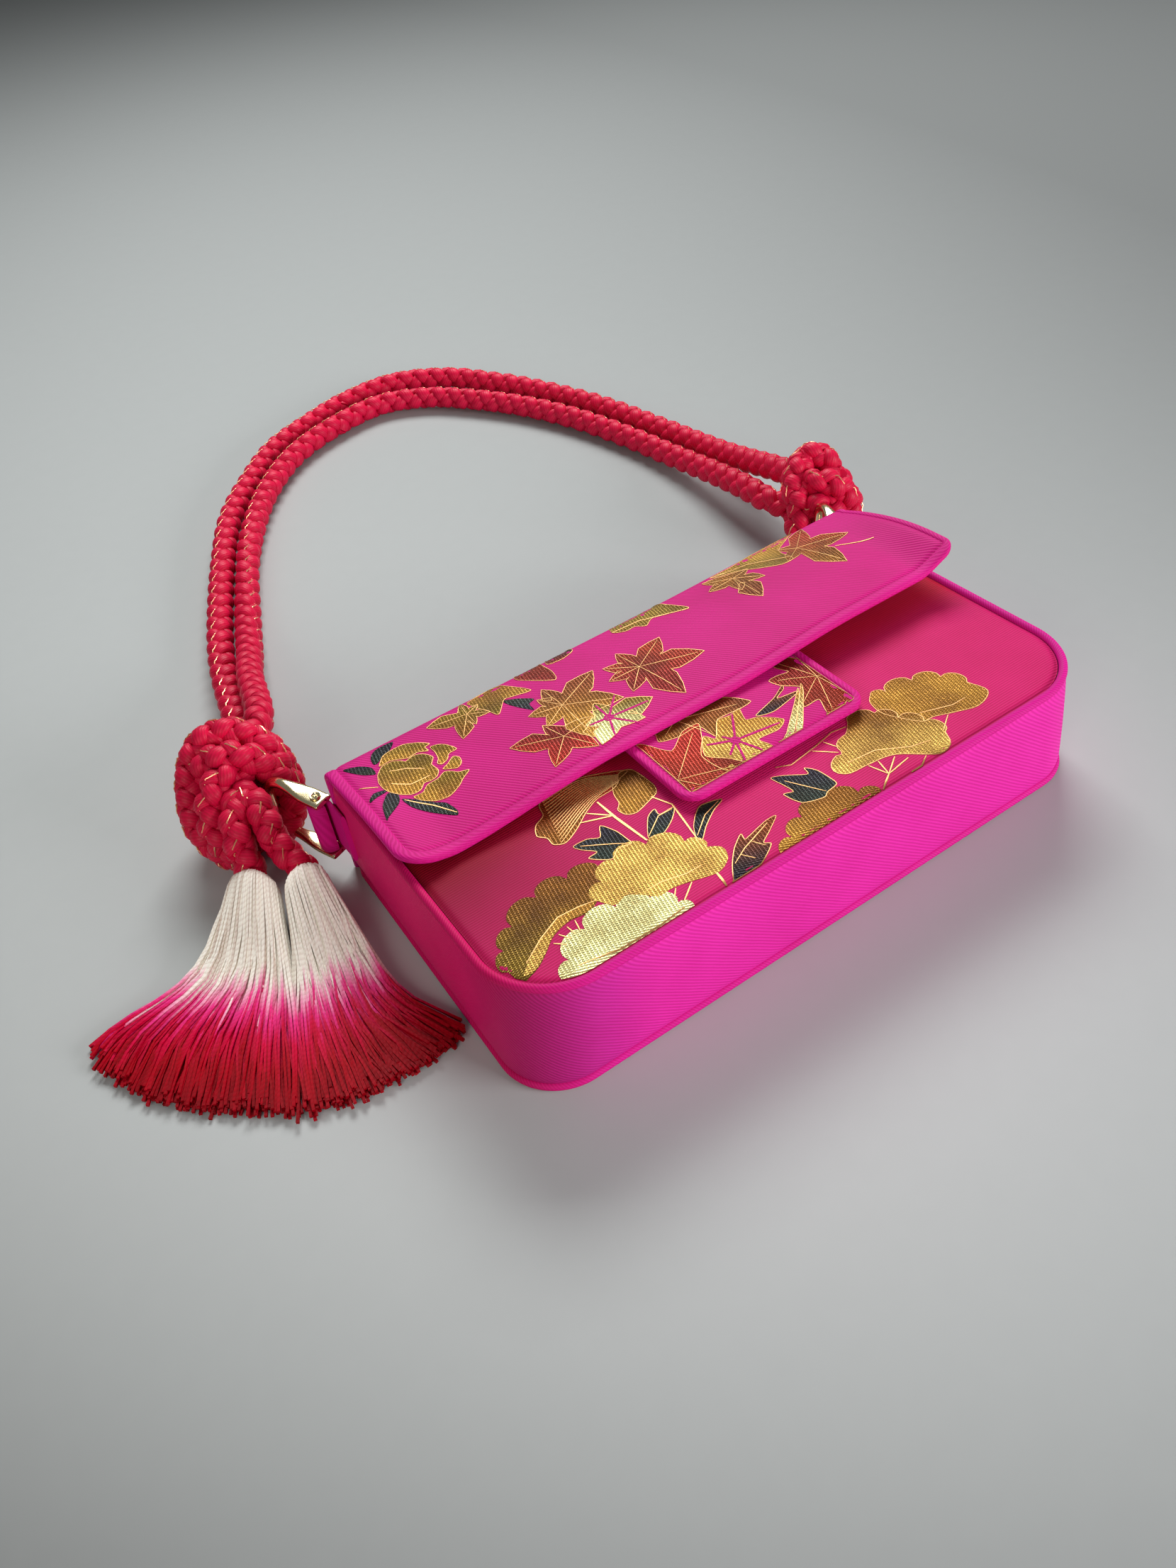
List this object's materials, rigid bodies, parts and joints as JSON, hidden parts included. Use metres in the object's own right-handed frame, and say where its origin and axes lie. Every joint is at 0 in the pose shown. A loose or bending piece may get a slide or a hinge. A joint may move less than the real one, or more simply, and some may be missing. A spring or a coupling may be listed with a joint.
{
  "type": "baguette bag",
  "caption": "Small baguette evening bag of stiffened satin with a hinged flap, a magnetic tongue and a doubled braided cord handle on screw shackles, ending in tassels",
  "frame": {"origin": "middle of the back panel's outer face, halfway along the bag and halfway between its base and its mouth; the bag lies on that face", "axes": "+X along the bag's length, with the tassels at the -X end; +Y from the base to the mouth; +Z from the back panel out through the front panel"},
  "size_m": [0.4412, 0.5202, 0.07],
  "materials": {
    "magenta_satin": "fine ribbed silk satin, printed with maple leaves in gold foil, soft sheen",
    "rose_satin": "fine ribbed silk satin, printed with pine clouds in gold foil, soft sheen",
    "lining": "plain matt lining cloth",
    "stiffener": "raw bag board",
    "magnet": "plated magnet, satin",
    "braided_cord": "round four-strand braid of glossy thread with a fine gold filament",
    "gilt": "pale gold plate, polished",
    "tassel_thread": "twisted threads, dip-dyed from ivory to crimson"
  },
  "bodies": {
    "bag": {"back_panel": "magenta_satin", "front_panel": "rose_satin", "back_piping": "magenta_satin", "front_piping": "magenta_satin", "gusset": "magenta_satin", "gusset_board": "stiffener", "gusset_lining": "lining", "back_lining": "lining", "front_lining": "lining", "slip_pocket": "lining", "magnet_socket": "magnet", "left_tab": "magenta_satin", "right_tab": "magenta_satin"},
    "flap": {"flap_skin": "magenta_satin", "flap_lining": "lining", "flap_rim": "magenta_satin", "tongue_pad": "magenta_satin", "tongue_rim": "magenta_satin", "magnet_plate": "magnet"},
    "handle": {"strap_outer_run": "braided_cord", "strap_inner_run": "braided_cord"},
    "left_link": {"left_shackle": "gilt", "left_pin": "gilt", "left_knot": "braided_cord", "outer_cord_end": "braided_cord", "inner_cord_end": "braided_cord"},
    "right_link": {"right_shackle": "gilt", "right_pin": "gilt", "right_knot": "braided_cord"},
    "outer_tassel": {"outer_tassel_head": "braided_cord", "outer_tassel_fringe": "tassel_thread"},
    "inner_tassel": {"inner_tassel_head": "braided_cord", "inner_tassel_fringe": "tassel_thread"}
  },
  "joints": [
    {"name": "flap_hinge", "type": "hinge", "parent": "bag", "child": "flap", "pos_m": [0, 0.075, 0.0008], "axis": [-1, 0, 0], "range_deg": [0, 90]},
    {"name": "strap_swing", "type": "hinge", "parent": "bag", "child": "handle", "pos_m": [0, 0.078, 0.02625], "axis": [1, 0, 0], "range_deg": [0, 90], "deforming": ["left_tab", "right_tab"]},
    {"name": "left_shackle_pivot", "type": "hinge", "parent": "handle", "child": "left_link", "pos_m": [-0.137, 0.078, 0.02625], "axis": [0, 0, 1], "range_deg": [-6, 0], "deforming": ["strap_outer_run", "strap_inner_run"]},
    {"name": "right_shackle_pivot", "type": "hinge", "parent": "handle", "child": "right_link", "pos_m": [0.137, 0.078, 0.02625], "axis": [0, 0, 1], "range_deg": [-15, 6]},
    {"name": "outer_tassel_swing", "type": "hinge", "parent": "left_link", "child": "outer_tassel", "pos_m": [-0.1695, 0.0805, 0.016], "axis": [1, 0, 0], "range_deg": [-90, 0], "deforming": ["outer_cord_end"]},
    {"name": "inner_tassel_swing", "type": "hinge", "parent": "left_link", "child": "inner_tassel", "pos_m": [-0.1525, 0.0695, 0.016], "axis": [1, 0, 0], "range_deg": [-90, 0], "deforming": ["inner_cord_end"]}
  ],
  "couplings": [
    {"joint": "outer_tassel_swing", "follows": "strap_swing", "ratio": -0.9},
    {"joint": "inner_tassel_swing", "follows": "strap_swing", "ratio": -0.98}
  ]
}
